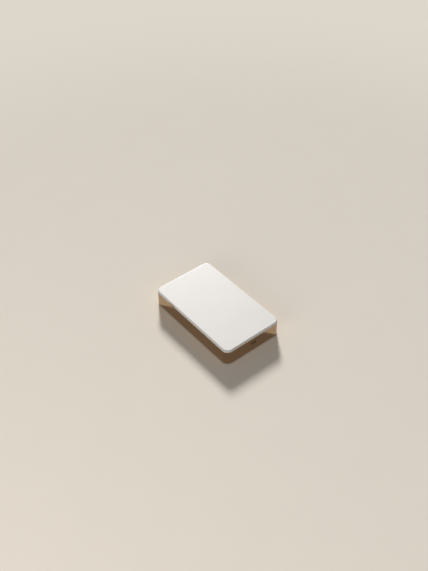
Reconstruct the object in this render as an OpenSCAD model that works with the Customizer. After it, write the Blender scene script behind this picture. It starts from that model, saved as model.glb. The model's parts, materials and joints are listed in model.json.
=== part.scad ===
// Compact photo printer: a flat rounded slab with a polished metal band, a hinged
// top cover over the paper well, and a roller and thermal-bar print mechanism.
// +X is the rear end with the socket and the hinge, -X the end where prints come out,
// +Z is up, and the origin is the centre of the surface that the printer stands on.

/* [Body] */
// Length over the band
body_l = 147; // [146:1:180]
// Width over the band
body_w = 88; // [86:1:108]
// Height from the table to the top of the cover
body_h = 23.5; // [22.5:0.5:30]
// Plan radius of the four corners
corner_r = 8.5; // [7:0.5:10]
// Wall of the metal band
band_wall = 1; // [0.8:0.1:1.2]
// Height of the cover's rim
rim_h = 2.2; // [2:0.1:3]
// Thickness of the cover's flat top
cover_t = 1.6; // [1.2:0.1:2]
// Slit between the cover and the band
seam_gap = 0.3; // [0.25:0.05:0.4]
// Polished bevel along the band's upper edge
band_bevel = 0.3; // [0.1:0.05:0.5]
// Gap under the band, where the inset base shows
band_lift = 0.9; // [0.7:0.1:1.5]
// Thickness of the base cover
base_t = 1.4; // [1.2:0.1:2]

/* [Feet] */
// Radius of a rubber foot
foot_r = 4; // [3:0.5:5]
// How far a foot stands out of the base
foot_h = 0.6; // [0.4:0.1:1]
// Depth of the recess that holds a foot
foot_sink = 0.4; // [0.2:0.1:0.5]

/* [Paper] */
// Length of a print sheet
sheet_l = 102; // [80:1:102]
// Width of a print sheet
sheet_w = 76; // [54:1:76]
// Play of the stack in its well, each side
sheet_play = 0.5; // [0.3:0.1:1]
// Height of the well's floor above the table
floor_z = 10.2; // [10:0.1:12]
// Thickness of the well's floor
floor_t = 1.2; // [1:0.1:1.5]
// Wall of the tray
tray_wall = 1.1; // [0.9:0.1:1.4]
// Length of the print mechanism in front of the well
mech_l = 29.6; // [29:0.1:34]

/* [Hinge] */
// Opening of the cover, for the hinge's arms
hinge_back = 2.3; // [2.2:0.05:2.5]
// Depth of the pivot below the top of the band
hinge_drop = 8; // [7.5:0.1:9]
// Radius of a hinge pin
hinge_pin_r = 0.5; // [0.4:0.05:0.6]
// Width of a hinge arm
arm_w = 3; // [2.5:0.1:4]
// Distance of a hinge arm's middle from the centre line
arm_y = 32.2; // [24:0.1:32.5]

/* [Pressure plate] */
// Length of the plate that presses the stack
plate_l = 48; // [40:1:60]
// Width of the plate
plate_w = 62; // [50:1:66]
// Travel of the plate against its springs
plate_travel = 3; // [2.5:0.1:3.2]
// Thickness of the plate
plate_t = 1.4; // [1.2:0.1:1.8]

/* [Rollers] */
// Radius of the platen's rubber
platen_r = 3.6; // [3.4:0.1:3.8]
// Radius of the exit roller's tyres
exit_r = 3; // [2.8:0.1:3.2]
// Radius of the pick-up roller's tyres
pickup_r = 3.3; // [3:0.1:3.4]
// Radius of the roller shafts
shaft_r = 1.3; // [1.1:0.1:1.4]
// Radial play of a shaft in its bush
shaft_play = 0.05; // [0.02:0.01:0.09]
// Thickness of a side plate of the mechanism
side_t = 1; // [0.8:0.1:1.2]

/* [Gears] */
// Module of all the gears
gear_module = 0.4; // [0.38:0.01:0.41]
// Teeth of the motor's pinion
pinion_teeth = 10; // [10:1:12]
// Teeth of the reduction gear's large wheel
large_teeth = 30; // [28:1:30]
// Teeth of the reduction gear's small wheel
small_teeth = 12; // [11:1:13]
// Teeth of the platen's gear
platen_teeth = 20; // [18:1:20]
// Teeth of the wheel between the platen and the exit roller
exit_idler_teeth = 16; // [16:1:17]
// Teeth of the exit roller's gear
exit_teeth = 16; // [16:1:17]
// Teeth of the wheel between the platen and the pick-up roller
feed_idler_teeth = 36; // [34:1:37]
// Teeth of the pick-up roller's gear
pickup_teeth = 18; // [17:1:20]
// Face width of one gear
gear_t = 1.15; // [0.9:0.05:1.2]

/* [Socket and button] */
// Height of the socket's middle above the table
socket_z = 13; // [12.6:0.1:15]
// Width of the socket's shell
socket_w = 8.9; // [8.9:0.1:9.4]
// Height of the socket's shell
socket_h = 3.2; // [3.2:0.1:3.6]
// Length of the power button
button_l = 9; // [7:0.5:12]
// Height of the power button
button_h = 2.6; // [2:0.1:3.5]
// Travel of the power button
button_travel = 0.3; // [0.2:0.05:0.3]

/* [Hidden] */
$fn = 64;

// Named clearances
gap = 0.3;          // between pieces that move past each other
fit = 0.15;         // between pieces that are fitted together and stay
eps = 0.01;         // overlap of a cutter past a face

// Outside levels and edges
half_l = body_l / 2;
half_w = body_w / 2;
seam_z = body_h - rim_h - seam_gap;
rim_z = seam_z + seam_gap;
under_z = body_h - cover_t;
in_l = half_l - band_wall;
in_w = half_w - band_wall;
base_z = foot_h;
base_top = base_z + base_t;
front_x = -half_l;

// Paper well
well_x0 = front_x + band_wall + mech_l;
well_x1 = well_x0 + sheet_l + 2 * sheet_play;
well_w = sheet_w / 2 + sheet_play;
path_z = floor_z + 0.1;
tray_top = seam_z - 1.4;

// Side channels: the gear train runs between a side plate and the band
side_out = in_w - 3.2;
side_in = side_out - side_t;
gear_y1 = side_out + 0.35;
gear_y2 = gear_y1 + gear_t + fit;
side_x0 = front_x + 4;
side_x1 = front_x + 48;
side_z1 = seam_z - 2;

// Roller axes, all under the sheet's path
platen_x = front_x + 21.5;
platen_z = path_z - platen_r;
exit_x = front_x + 8;
exit_z = path_z - exit_r;
pickup_x = front_x + 42.5;
pickup_z = floor_z + gap - pickup_r;
pinch_r = 1.9;
pinch_z = path_z + gap + pinch_r;

// Gear centres
reduction_dir = 120;
motor_dir = 153;
reduction_at = [platen_x, platen_z] + polar(pitch(small_teeth + platen_teeth), reduction_dir);
motor_at = reduction_at + polar(pitch(pinion_teeth + large_teeth), motor_dir);
exit_idler_at = meet([platen_x, platen_z], [exit_x, exit_z],
    pitch(platen_teeth + exit_idler_teeth), pitch(exit_idler_teeth + exit_teeth), -1);
feed_idler_at = meet([platen_x, platen_z], [pickup_x, pickup_z],
    pitch(platen_teeth + feed_idler_teeth), pitch(feed_idler_teeth + pickup_teeth), -1);

// Angles at which each gear stands so that its teeth mesh with its neighbour's
small_phase = meshed(0, platen_teeth, small_teeth, reduction_dir);
pinion_phase = meshed(0, large_teeth, pinion_teeth, motor_dir);
exit_idler_phase = meshed(0, platen_teeth, exit_idler_teeth,
    bearing([platen_x, platen_z], exit_idler_at));
exit_phase = meshed(exit_idler_phase, exit_idler_teeth, exit_teeth,
    bearing(exit_idler_at, [exit_x, exit_z]));
feed_idler_phase = meshed(0, platen_teeth, feed_idler_teeth,
    bearing([platen_x, platen_z], feed_idler_at));
pickup_phase = meshed(feed_idler_phase, feed_idler_teeth, pickup_teeth,
    bearing(feed_idler_at, [pickup_x, pickup_z]));

// Motor
motor_r = 4.2;
motor_l = 20;
motor_shaft_r = 0.75;

// Print head: a ceramic bar under a sprung carrier that swings on a pivot behind it
head_pivot = [platen_x + 8, path_z + 2.4];
head_pin_r = 1;
carrier_w = side_in - 1.2;
bridge_z = side_z1 - 1;

// Hinge of the top cover
hinge_x = half_l - hinge_back;
hinge_z = seam_z - hinge_drop;
eye_r = hinge_back - band_wall - 0.25;
arm_back = hinge_x - sqrt(hinge_drop * hinge_drop + hinge_back * hinge_back) - 1.4;
ear_t = 1.4;

// Pressure plate, hung under the cover
plate_z = floor_z + 2 * gap;
plate_top = plate_z + plate_t;
plate_x0 = well_x0 + 2.5;
spring_x = plate_x0 + 14;
spring_y = 18;
peg_r = 1.5;
sleeve_r = 2.5;
peg_z = plate_z + plate_travel + 0.2;
hanger_x = plate_x0 + 30;
hanger_y = 24;

// Where screws, feet and the electronics stand
screw_r = 0.85;
head_r = 1.9;
boss_r = 2.4;
plate_foot_x = front_x + 26;
plate_foot_l = 11.5;
foot_screw_at = [for (y = [-1, 1]) [plate_foot_x + plate_foot_l / 2, y * (side_in - 2.6)]];
foot_at = [for (x = [-1, 1]) for (y = [-1, 1]) [x * (half_l - 11.5), y * (half_w - 12)]];
board_at = [17, 19];
board_l = 64;
board_w = 34;
board_z = base_top + 1.6;
board_t = 1;
post_at = [for (x = [-1, 1]) for (y = [-1, 1]) board_at + [x * (board_l / 2 - 5), y * (board_w / 2 - 4)]];
cell_at = [25, -18];
cell_l = 50;
cell_w = 32;
cell_t = 4.8;
cell_z = base_top + gap;
cell_end_x = cell_at[0] - cell_l / 2;
cell_board_t = 0.8;
boss_x = [well_x0 + 24, max(well_x1 - 8, cell_at[0] + cell_l / 2 + 2.1)];
boss_at = [for (x = boss_x) for (y = [-1, 1]) [x, y * (side_out - 4.6)]];
flex_top = side_z1 - 3;
rear_board_top = socket_z - socket_h / 2;
board_top = board_z + board_t;
plug_h = 1.4;
film_t = 0.25;
lead_r = 0.3;
button_x = half_l - 21.5;
button_z = socket_z - 1;
switch_z0 = floor_z - floor_t + gap;
lens_x = button_x - 12;
reset_at = [front_x + 31.5, 7];
notch_x = front_x + 36.5;

// Small details of the outside
slot_h = 1.8;
lens_r = 0.8;
pinhole_r = 0.6;
foot_edge = 0.3;
skirt_t = 1;
skirt_depth = 2.1;
bead_r = 0.2;
rib_t = 1;
rib_h = 0.8;
dish_r = 20;
dish_depth = 0.15;
post_r = 0.8;

// Small details of the inside
board_post_r = 1.9;
fence_h = 2.4;
fence_t = 0.9;
fence_room = 3;
fence_corner = 10;
locating_x = [-10, 20, 50];
locating_y = [-24, 0, 24];
screw_head_t = 0.8;
plate_rib_y = 8;
runner_y = [-30, -8, 8, 30];
floor_window_y = 19;
shelf_post_y = 20;
tyre_y0 = 12;
tyre_w = 9;
hub_r = shaft_r + 0.8;
pinch_shaft_r = 0.7;
motor_boss_r = 1.7;
motor_screw_r = 0.6;
motor_screw_x = 3;
lead_rise = [1.36, 1.98];
lead_bend = 1;
rear_drop_x = well_x1 + 2.5;
rear_drop_y = [15, 21];

// Gear teeth: stub involutes with a little backlash
tooth_out = 0.8 * gear_module;
tooth_in = 1.05 * gear_module;
flank_angle = 25;
backlash = 0.07;

function polar(r, a) = [r * cos(a), r * sin(a)];
function pitch(teeth) = gear_module * teeth / 2;
function bearing(p, q) = atan2(q[1] - p[1], q[0] - p[0]);

// The point at distance dp from p and dq from q, on the side that side picks
function meet(p, q, dp, dq, side) =
    let (d = norm(q - p), a = (dp * dp - dq * dq + d * d) / (2 * d))
    let (h = sqrt(max(0, dp * dp - a * a)), u = (q - p) / d)
    p + a * u + side * h * [u[1], -u[0]];

// Angle of a gear's first tooth that puts its gap on the neighbour's tooth: the
// neighbour has its first tooth at phase, and this gear lies in direction dir from it
function meshed(phase, teeth, own_teeth, dir) =
    dir + 180 - 360 / own_teeth * (0.5 - (dir - phase) * teeth / 360);

/* Shapes used by several pieces */

// Outline with round corners
module rounded(l, w, r) {
    square([l - 2 * r, w], center = true);
    square([l, w - 2 * r], center = true);
    for (x = [-1, 1], y = [-1, 1])
        translate([x * (l / 2 - r), y * (w / 2 - r)]) circle(r);
}

// Outline with half-round ends
module pill(l, h) {
    square([l - h, h], center = true);
    for (x = [-1, 1]) translate([x * (l - h) / 2, 0]) circle(h / 2);
}

// Sweeps a profile round the body's outline: x is measured outwards from the corner
// centres, so the outer wall is at corner_r, and y is the height
module swept_round() {
    cx = half_l - corner_r;
    cy = half_w - corner_r;
    for (k = [0 : 3])
        translate([(k == 0 || k == 3 ? 1 : -1) * cx, (k < 2 ? 1 : -1) * cy, 0])
            rotate(k * 90) rotate_extrude(angle = 90) children();
    for (s = [0, 180]) rotate(s) {
        translate([cx, cy, 0]) rotate([90, 0, 0]) linear_extrude(2 * cy) children();
        translate([-cx, cy, 0]) rotate([90, 0, 90]) linear_extrude(2 * cx) children();
    }
}

// Extrudes an x-z outline along y, from y0 over the width w
module across(y0, w) {
    translate([0, y0 + w, 0]) rotate([90, 0, 0]) linear_extrude(w) children();
}

// Round bar along y
module bar(x, z, r, y0, w) {
    translate([x, y0, z]) rotate([-90, 0, 0]) cylinder(r = r, h = w);
}

module box_between(a, b) {
    translate(a) cube(b - a);
}

module both_sides() {
    children();
    mirror([0, 1, 0]) children();
}

/* Outside */

module side_band() {
    color([0.72, 0.68, 0.63]) difference() {
        swept_round() band_profile();
        exit_slot();
        translate([half_l, 0, socket_z]) rotate([90, 0, 90])
            linear_extrude(4 * band_wall, center = true) pill(socket_w + gap, socket_h + gap);
        translate([button_x, half_w, button_z]) rotate([90, 0, 0])
            linear_extrude(4 * band_wall, center = true)
                pill(button_l + 2 * gap, button_h + 2 * gap);
        bar(lens_x, button_z, lens_r, in_w - 1, band_wall + 2);
        bar(reset_at[0], reset_at[1], pinhole_r, -half_w - 1, band_wall + 2);
    }
}

// Wall of the band, with its bevelled edges
module band_profile() {
    polygon([
        [corner_r - band_wall, band_lift + band_bevel],
        [corner_r - band_wall + band_bevel, band_lift],
        [corner_r - band_bevel, band_lift],
        [corner_r, band_lift + band_bevel],
        [corner_r, seam_z - band_bevel],
        [corner_r - band_bevel, seam_z],
        [corner_r - band_wall, seam_z]
    ]);
}

module exit_slot() {
    translate([front_x, 0, path_z + 0.2]) rotate([90, 0, 90])
        linear_extrude(4 * band_wall, center = true) pill(2 * well_w, slot_h);
}

module base_cover() {
    base_l = 2 * in_l - 2 * fit;
    base_w = 2 * in_w - 2 * fit;
    color([0.20, 0.20, 0.21]) difference() {
        union() {
            translate([0, 0, base_z]) linear_extrude(base_t)
                rounded(base_l, base_w, corner_r - band_wall - fit);
            // Board posts, battery fence and locating ribs along the band
            for (p = post_at)
                translate([p[0], p[1], base_top])
                    cylinder(r = board_post_r, h = board_z - base_top);
            translate([0, 0, base_top]) linear_extrude(fence_h) difference() {
                translate(cell_at) square([cell_l + 2 * (fence_room + fence_t),
                    cell_w + 2 * (gap + fence_t)], center = true);
                translate(cell_at) square([cell_l + 2 * fence_room, cell_w + 2 * gap], center = true);
                translate(cell_at) square([cell_l - 2 * fence_corner, 2 * cell_w], center = true);
                for (p = boss_at) translate(p) circle(boss_r + gap);
            }
            for (x = locating_x) for (y = [-1, 1])
                translate([x - 3, y * (base_w / 2 - 0.5) - 0.5, base_top]) cube([6, 1, 3]);
            for (y = locating_y)
                translate([front_x + 6, y - 3, base_top]) cube([1, 6, 1.2]);
        }
        for (p = foot_at) translate([p[0], p[1], base_z - 1])
            cylinder(r = foot_r, h = 1 + foot_sink);
        for (p = concat(boss_at, foot_screw_at)) translate([p[0], p[1], base_z - 1]) {
            cylinder(r = screw_r + 0.25, h = base_t + 2);
            cylinder(r = head_r + 0.1, h = 1.9);
        }
    }
}

module rubber_feet() {
    color([0.16, 0.16, 0.17]) for (p = foot_at) translate([p[0], p[1], 0]) {
        cylinder(r1 = foot_r - foot_edge, r2 = foot_r, h = foot_edge);
        translate([0, 0, foot_edge]) cylinder(r = foot_r, h = base_z + foot_sink - foot_edge);
    }
}

// Flat-headed screws from below, each with a cross recess
module base_screws() {
    color([0.45, 0.45, 0.47]) for (p = concat(boss_at, foot_screw_at))
        translate([p[0], p[1], base_z + 0.1]) {
            difference() {
                cylinder(r = head_r, h = screw_head_t);
                for (a = [0, 90]) rotate(a) cube([2.2, 0.5, screw_head_t], center = true);
            }
            translate([0, 0, screw_head_t]) cylinder(r = screw_r, h = len_of_screw(p));
        }
}

// The long screws reach up into the tray's bosses, the short ones into the metal feet
function len_of_screw(p) = abs(p[1]) < side_in - 2 && p[0] < plate_foot_x + plate_foot_l
    ? base_t + side_t - 0.9 : base_t + 4;

module top_cover() {
    color([0.95, 0.94, 0.92]) difference() {
        union() {
            swept_round() cover_profile();
            box_between([corner_r - half_l, corner_r - half_w, under_z],
                [half_l - corner_r, half_w - corner_r, body_h]);
            cover_skirt();
            cover_ribs();
            both_sides() hinge_arm();
            both_sides() plate_peg();
            both_sides() cover_hangers();
        }
        // Nail notches under the long edges
        both_sides() translate([notch_x, half_w + 0.5, rim_z - 0.2]) nail_notch();
        both_sides() bar(hinge_x, hinge_z, hinge_pin_r + 0.06, arm_y - 4, 8);
    }
}

// Rounded rim and flat plate of the cover, out to its corner centres
module cover_profile() {
    difference() {
        union() {
            translate([0, under_z]) square([corner_r - edge_r(), cover_t]);
            translate([0, under_z]) square([corner_r, body_h - edge_r() - under_z]);
            translate([corner_r - band_wall, rim_z])
                square([band_wall, max(eps, body_h - edge_r() - rim_z)]);
            intersection() {
                translate([corner_r - edge_r(), body_h - edge_r()]) circle(edge_r());
                translate([corner_r - edge_r(), rim_z]) square([edge_r(), rim_h]);
            }
        }
        translate([-1, rim_z - 1])
            square([corner_r - band_wall + 1, under_z - rim_z + 1]);
    }
}

function edge_r() = rim_h - 0.02;

module nail_notch() {
    rotate([90, 0, 0]) linear_extrude(1.5) intersection() {
        pill(12, 2.2);
        translate([-8, 0]) square([16, 2]);
    }
}

// Skirt that drops inside the band along the front and the sides
module cover_skirt() {
    outer = corner_r - band_wall - gap;
    intersection() {
        swept_round() translate([outer - skirt_t, seam_z - skirt_depth])
            square([skirt_t, under_z - seam_z + skirt_depth]);
        box_between([-half_l, -half_w, 0], [well_x1 - 0.5, half_w, body_h]);
    }
    // Snap beads on the skirt
    both_sides() translate([notch_x - 5, in_w - gap, seam_z - 1.2]) rotate([0, 90, 0])
        cylinder(r = bead_r, h = 10);
}

module cover_ribs() {
    for (y = [-30, -10, 10, 30])
        box_between([well_x0 + 60, y - rib_t / 2, under_z - rib_h],
            [well_x1 - 4, y + rib_t / 2, under_z + eps]);
    for (x = [well_x0 + 62, well_x1 - 6])
        box_between([x - rib_t / 2, -30, under_z - rib_h], [x + rib_t / 2, 30, under_z + eps]);
}

// Goose-neck arm: it runs forward from the pivot and then up to the cover, so that the
// band's upper edge passes through its bend as the cover opens
module hinge_arm() {
    across(arm_y - arm_w / 2, arm_w) {
        translate([hinge_x, hinge_z]) circle(eye_r);
        translate([arm_back, hinge_z - eye_r]) square([hinge_x - arm_back, 2 * eye_r]);
        translate([arm_back, hinge_z - eye_r]) square([1, under_z - hinge_z + eye_r + eps]);
        translate([arm_back, under_z - 1.2])
            polygon([[0, 0], [0, 1.2], [-3.4, 1.2], [-1, 0]]);
    }
}

// Pegs that guide the pressure plate
module plate_peg() {
    translate([spring_x, spring_y, peg_z]) cylinder(r = peg_r, h = under_z - peg_z + eps);
}

// Hooked legs that the pressure plate hangs from
module cover_hangers() {
    across(hanger_y - 3, 6) for (s = [-1, 1]) translate([hanger_x, 0]) mirror([s < 0 ? 1 : 0, 0]) {
        translate([3.6, peg_z]) square([1, under_z - peg_z + eps]);
        translate([2.4, peg_z]) square([2.2, 0.8]);
    }
}

module hinge_pins() {
    color([0.75, 0.76, 0.78]) both_sides()
        bar(hinge_x, hinge_z, hinge_pin_r, arm_y - arm_w / 2 - gap - ear_t,
            arm_w + 2 * gap + 2 * ear_t);
}

module power_button() {
    color([0.72, 0.68, 0.63]) {
        translate([button_x, half_w - 0.05, button_z]) rotate([90, 0, 0]) difference() {
            linear_extrude(band_wall + gap) pill(button_l, button_h);
            // Shallow dish for the fingertip
            translate([0, 0, dish_depth - dish_r]) sphere(r = dish_r);
        }
        translate([button_x, half_w - 0.05 - band_wall - gap + eps, button_z]) rotate([90, 0, 0])
            linear_extrude(0.5) pill(button_l + 2, button_h + 2);
        bar(button_x, button_z, 0.7, in_w - gap - 0.85, 0.4);
    }
}

module status_lens() {
    color([0.9, 0.95, 0.9]) {
        bar(lens_x, button_z, lens_r, in_w - 1.2, band_wall + 1.15);
        bar(lens_x, button_z, lens_r + 0.5, in_w - 1.2, 1.2);
    }
}

/* Paper tray and pressure plate */

module paper_tray() {
    tray_in = side_in - 0.4 - fit;
    color([0.24, 0.24, 0.26]) difference() {
        union() {
            // Floor between the side plates, then over the full width, then the rear shelf
            box_between([platen_x + 4.6, -tray_in, floor_z - floor_t],
                [side_x1 + 0.7, tray_in, floor_z]);
            box_between([side_x1 + 0.6, -well_w - tray_wall, floor_z - floor_t],
                [well_x1 + tray_wall, well_w + tray_wall, floor_z]);
            box_between([well_x1, fit + corner_r - in_w, floor_z - floor_t],
                [in_l - fit, in_w - corner_r - fit, floor_z]);
            // Walls of the well
            both_sides() box_between([side_x1 + 0.6, well_w, floor_z - floor_t],
                [well_x1 + tray_wall, well_w + tray_wall, tray_top]);
            box_between([well_x1, -well_w, floor_z - floor_t],
                [well_x1 + tray_wall, well_w, tray_top]);
            // Screw bosses and the ribs that tie the walls to the band
            for (p = boss_at) translate([p[0], p[1], base_top])
                cylinder(r = boss_r, h = floor_z - floor_t - base_top + eps);
            both_sides() for (x = [side_x1 + 14, side_x1 + 50])
                box_between([x - 1, well_w + tray_wall - eps, floor_z - floor_t],
                    [x + 1, in_w - fit, floor_z + 2]);
            // Ledges under the rear board
            for (y = [-1, 1])
                box_between([well_x1 + tray_wall, y * shelf_post_y - 3, floor_z - eps],
                    [in_l - fit, y * shelf_post_y + 3, rear_board_top - board_t]);
            both_sides() hinge_ears();
            // Runners along the floor, low under the stack
            for (y = runner_y)
                box_between([pickup_x + 8, y - 0.6, floor_z - eps], [well_x1, y + 0.6, floor_z + 0.25]);
        }
        // Windows for the pick-up tyres, and the hole for the socket's cable
        both_sides() box_between([pickup_x - pickup_r - 0.8, tyre_y0 - 1.2, floor_z - 4],
            [pickup_x + pickup_r + 0.8, tyre_y0 + tyre_w + 1.2, floor_z + 1]);
        box_between([rear_drop_x - 1, rear_drop_y[0] - 0.5, floor_z - 4],
            [rear_drop_x + 1.3, rear_drop_y[1] + 0.5, floor_z + 2]);
        for (p = boss_at) translate([p[0], p[1], base_top - 1]) cylinder(r = screw_r, h = 6.4);
        both_sides() bar(hinge_x, hinge_z, hinge_pin_r, arm_y - 6, 12);
        // Thumb cut in the rear wall and windows that lighten the floor
        translate([well_x1 - 1, 0, tray_top]) rotate([0, 90, 0]) cylinder(r = 7, h = 4);
        both_sides() box_between([side_x1 + 14, floor_window_y - 8, floor_z - 3],
            [side_x1 + 40, floor_window_y + 8, floor_z + 1]);
    }
}

module hinge_ears() {
    for (y = [arm_y - arm_w / 2 - gap - ear_t, arm_y + arm_w / 2 + gap])
        across(y, ear_t) {
            translate([hinge_x - eye_r, floor_z - eps]) square([2 * eye_r, hinge_z - floor_z]);
            translate([hinge_x, hinge_z]) circle(eye_r);
            translate([hinge_x - eye_r - 2, floor_z - eps]) square([2.5, 1]);
        }
}

module pressure_plate() {
    color([0.30, 0.30, 0.32]) difference() {
        union() {
            translate([plate_x0 + plate_l / 2, 0, plate_z]) linear_extrude(plate_t)
                rounded(plate_l, plate_w, 4);
            both_sides() translate([spring_x, spring_y, plate_top - eps])
                cylinder(r = sleeve_r, h = sleeve_h());
            // Ribs that stiffen the plate
            both_sides() box_between([plate_x0 + 4, plate_rib_y - rib_t / 2, plate_top - eps],
                [plate_x0 + plate_l - 4, plate_rib_y + rib_t / 2, plate_top + 1.2]);
            both_sides() plate_hangers();
        }
        both_sides() translate([spring_x, spring_y, plate_z - 1])
            cylinder(r = peg_r + 0.1, h = plate_t + sleeve_h() + 2);
        both_sides() for (s = [-1, 1])
            box_between([hanger_x + s * 3.5 - 1.5, hanger_y - 3.4, plate_z - 1],
                [hanger_x + s * 3.5 + 1.5, hanger_y + 3.4, plate_top + 0.5]);
    }
}

function sleeve_h() = under_z - gap - plate_travel - plate_top - 0.3;

// T-shaped post whose head rests on the cover's hooked legs
module plate_hangers() {
    across(hanger_y - 2.7, 5.4) {
        translate([hanger_x - 1.6, plate_top - eps])
            square([3.2, peg_z + 0.8 + gap - plate_top + 1]);
        translate([hanger_x - 3.2, peg_z + 0.8 + gap]) square([6.4, 1]);
    }
}

// Coil springs round the plate's sleeves, standing between the plate and the cover
module plate_springs() {
    color([0.70, 0.70, 0.72]) both_sides() translate([spring_x, spring_y, plate_top])
        coil(sleeve_r + 0.35 + 0.25, 0.25, under_z - plate_top, 4);
}

// Round wire coil of outer height h, flat ended by lying level for its last half turn
module coil(r, wire, h, turns) {
    sides = 6;
    steps = 8 * turns + 8;
    rise = h - 2 * wire;
    function level(t) = wire + rise * min(1, max(0, (t - 0.5) / turns));
    rings = [for (k = [0 : steps]) let (t = k / 8) [
        for (j = [0 : sides - 1]) let (a = 360 * j / sides + 30, q = r + wire * 0.95 * cos(a))
            [q * cos(360 * t), q * sin(360 * t), level(t) + wire * sin(a)]]];
    polyhedron(
        points = [for (ring = rings) for (p = ring) p],
        faces = concat(
            [[for (j = [0 : sides - 1]) j]],
            [for (k = [0 : steps - 1]) for (j = [0 : sides - 1]) for (half = [0, 1])
                let (a = k * sides + j, b = k * sides + (j + 1) % sides)
                half == 0 ? [a, a + sides, b] : [b, a + sides, b + sides]],
            [[for (j = [sides - 1 : -1 : 0]) steps * sides + j]]
        )
    );
}

/* Electronics */

module main_board() {
    color([0.10, 0.30, 0.18]) translate([0, 0, board_z]) linear_extrude(board_t) difference() {
        translate(board_at) rounded(board_l, board_w, 2);
        for (p = post_at) translate(p) circle(0.8);
    }
}

// Processor, memory, radio, small parts, coils, and the plugs of the cables
module board_parts() {
    color([0.12, 0.12, 0.13]) translate([0, 0, board_top]) {
        translate([0, 12, 0]) cube([9, 9, 0.9]);
        translate([14, 10, 0]) cube([6, 6, 0.8]);
        translate([24, 22, 0]) cube([13, 10, 1.8]);
        for (x = [2 : 4 : 18]) translate([x, 26, 0]) cube([1.6, 0.9, 0.6]);
        for (x = [30, 36]) translate([x, 12, 0]) cylinder(r = 2, h = 1.8);
        translate([-13, 14, 0]) cube([3, 12, plug_h]);
        translate([43, 16, 0]) cube([3, 8, plug_h]);
        translate([37, 33, 0]) cube([5, 2.4, plug_h]);
        translate([cell_end_x - 4, board_at[1] - board_w / 2 + 1, 0]) cube([4, 3.2, 1.6]);
    }
}

module rear_board() {
    color([0.10, 0.30, 0.18]) box_between([well_x1 + tray_wall + gap, -26, rear_board_top - board_t],
        [in_l - 0.5, 26, rear_board_top]);
}

// Drawn steel shell of the socket, open to the rear
module usb_shell() {
    color([0.78, 0.79, 0.80]) translate([in_l - fit - socket_l(), 0, socket_z])
        rotate([90, 0, 90]) {
            linear_extrude(socket_l()) difference() {
                pill(socket_w, socket_h);
                pill(socket_w - 0.6, socket_h - 0.6);
            }
            linear_extrude(0.6) pill(socket_w - 0.3, socket_h - 0.3);
        }
}

function socket_l() = 7.3;

module usb_tongue() {
    color([0.10, 0.10, 0.11]) translate([in_l - fit - socket_l() + 0.6, 0, socket_z])
        rotate([90, 0, 90]) linear_extrude(socket_l() - 1.3) square([6.7, 0.7], center = true);
}

// Small push switch on its own board behind the power button
module button_switch() {
    y0 = well_w + tray_wall + 0.2;
    color([0.10, 0.30, 0.18]) box_between([lens_x - 3, y0, switch_z0],
        [button_x + 6, y0 + 0.6, button_z + 3.5]);
    color([0.75, 0.76, 0.78]) box_between([button_x - 2.2, y0 + 0.6, button_z - 1.6],
        [button_x + 2.2, y0 + 1.2, button_z + 1.6]);
    color([0.12, 0.12, 0.13]) bar(button_x, button_z, 0.9, y0 + 1.2,
        in_w - gap - 0.85 - button_travel - 0.08 - y0 - 1.2);
}

// Reset switch on the left side plate, behind the pinhole
module reset_switch() {
    color([0.12, 0.12, 0.13]) {
        box_between([reset_at[0] - 2, -side_out - 1.3, reset_at[1] - 2],
            [reset_at[0] + 2, -side_out, reset_at[1] + 2]);
        bar(reset_at[0], reset_at[1], 0.7, -side_out - 1.9, 0.6);
    }
}

// Flat pouch cell with its folded end and its protection board
module battery() {
    color([0.66, 0.67, 0.70]) {
        translate([cell_at[0], cell_at[1], cell_z]) linear_extrude(cell_t)
            rounded(cell_l, cell_w, 1.5);
        translate([cell_end_x - 2.5, cell_at[1] - 11, cell_z + 1]) cube([3, 22, 1.2]);
    }
    color([0.10, 0.30, 0.18]) translate([cell_end_x - 3.5, cell_at[1] - 9, cell_z + 2.2])
        cube([3.6, 18, cell_board_t]);
}

// Two wires from the protection board to the main board's plug
module battery_leads() {
    y0 = cell_at[1] + 6;
    y1 = board_at[1] - board_w / 2 + 1;
    color([0.55, 0.10, 0.08]) for (x = [-2.6, -1.4])
        bar(cell_end_x + x, cell_z + 2.2 + cell_board_t + lead_r, lead_r, y0, y1 - y0);
}

// Two wires from the motor's tail, across to the left channel and down to the head's cable
module motor_leads() {
    y0 = -side_out - 0.9;
    y1 = side_in - motor_l - 0.8;
    color([0.55, 0.10, 0.08]) for (k = [0, 1]) {
        z = motor_at[1] + lead_rise[k];
        x1 = platen_x + 2.5 + 1.5 * k;
        bar(motor_at[0], z, lead_r, y0 + lead_bend, y1 - y0 - lead_bend);
        translate([motor_at[0] + lead_bend, y0 + lead_bend, z]) rotate(180) quarter_bend();
        translate([motor_at[0] + lead_bend, y0, z]) rotate([0, 90, 0])
            cylinder(r = lead_r, h = x1 - motor_at[0] - 2 * lead_bend);
        translate([x1 - lead_bend, y0, z - lead_bend]) rotate([90, 0, 0]) quarter_bend();
        translate([x1, y0, flex_top]) cylinder(r = lead_r, h = z - lead_bend - flex_top);
    }
}

// Quarter turn of a wire about the origin, from the x axis to the y axis
module quarter_bend() {
    rotate_extrude(angle = 90) translate([lead_bend, 0]) circle(lead_r);
}

// Flat cable from the button's board down and over to the main board
module button_flex() {
    y0 = well_w + tray_wall + 0.2;
    z = board_top + plug_h;
    color([0.75, 0.48, 0.20]) {
        box_between([37.5, y0, z], [41.5, y0 + film_t, switch_z0]);
        box_between([37.5, 33, z], [41.5, y0 + film_t, z + film_t]);
    }
}

// Flat cable from the socket's board down through the shelf and over to the main board
module rear_flex() {
    z = board_top + plug_h;
    color([0.75, 0.48, 0.20]) {
        box_between([rear_drop_x, rear_drop_y[0], z],
            [rear_drop_x + film_t, rear_drop_y[1], rear_board_top - board_t]);
        box_between([43.2, rear_drop_y[0], z],
            [rear_drop_x + film_t, rear_drop_y[1], z + film_t]);
    }
}

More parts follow.
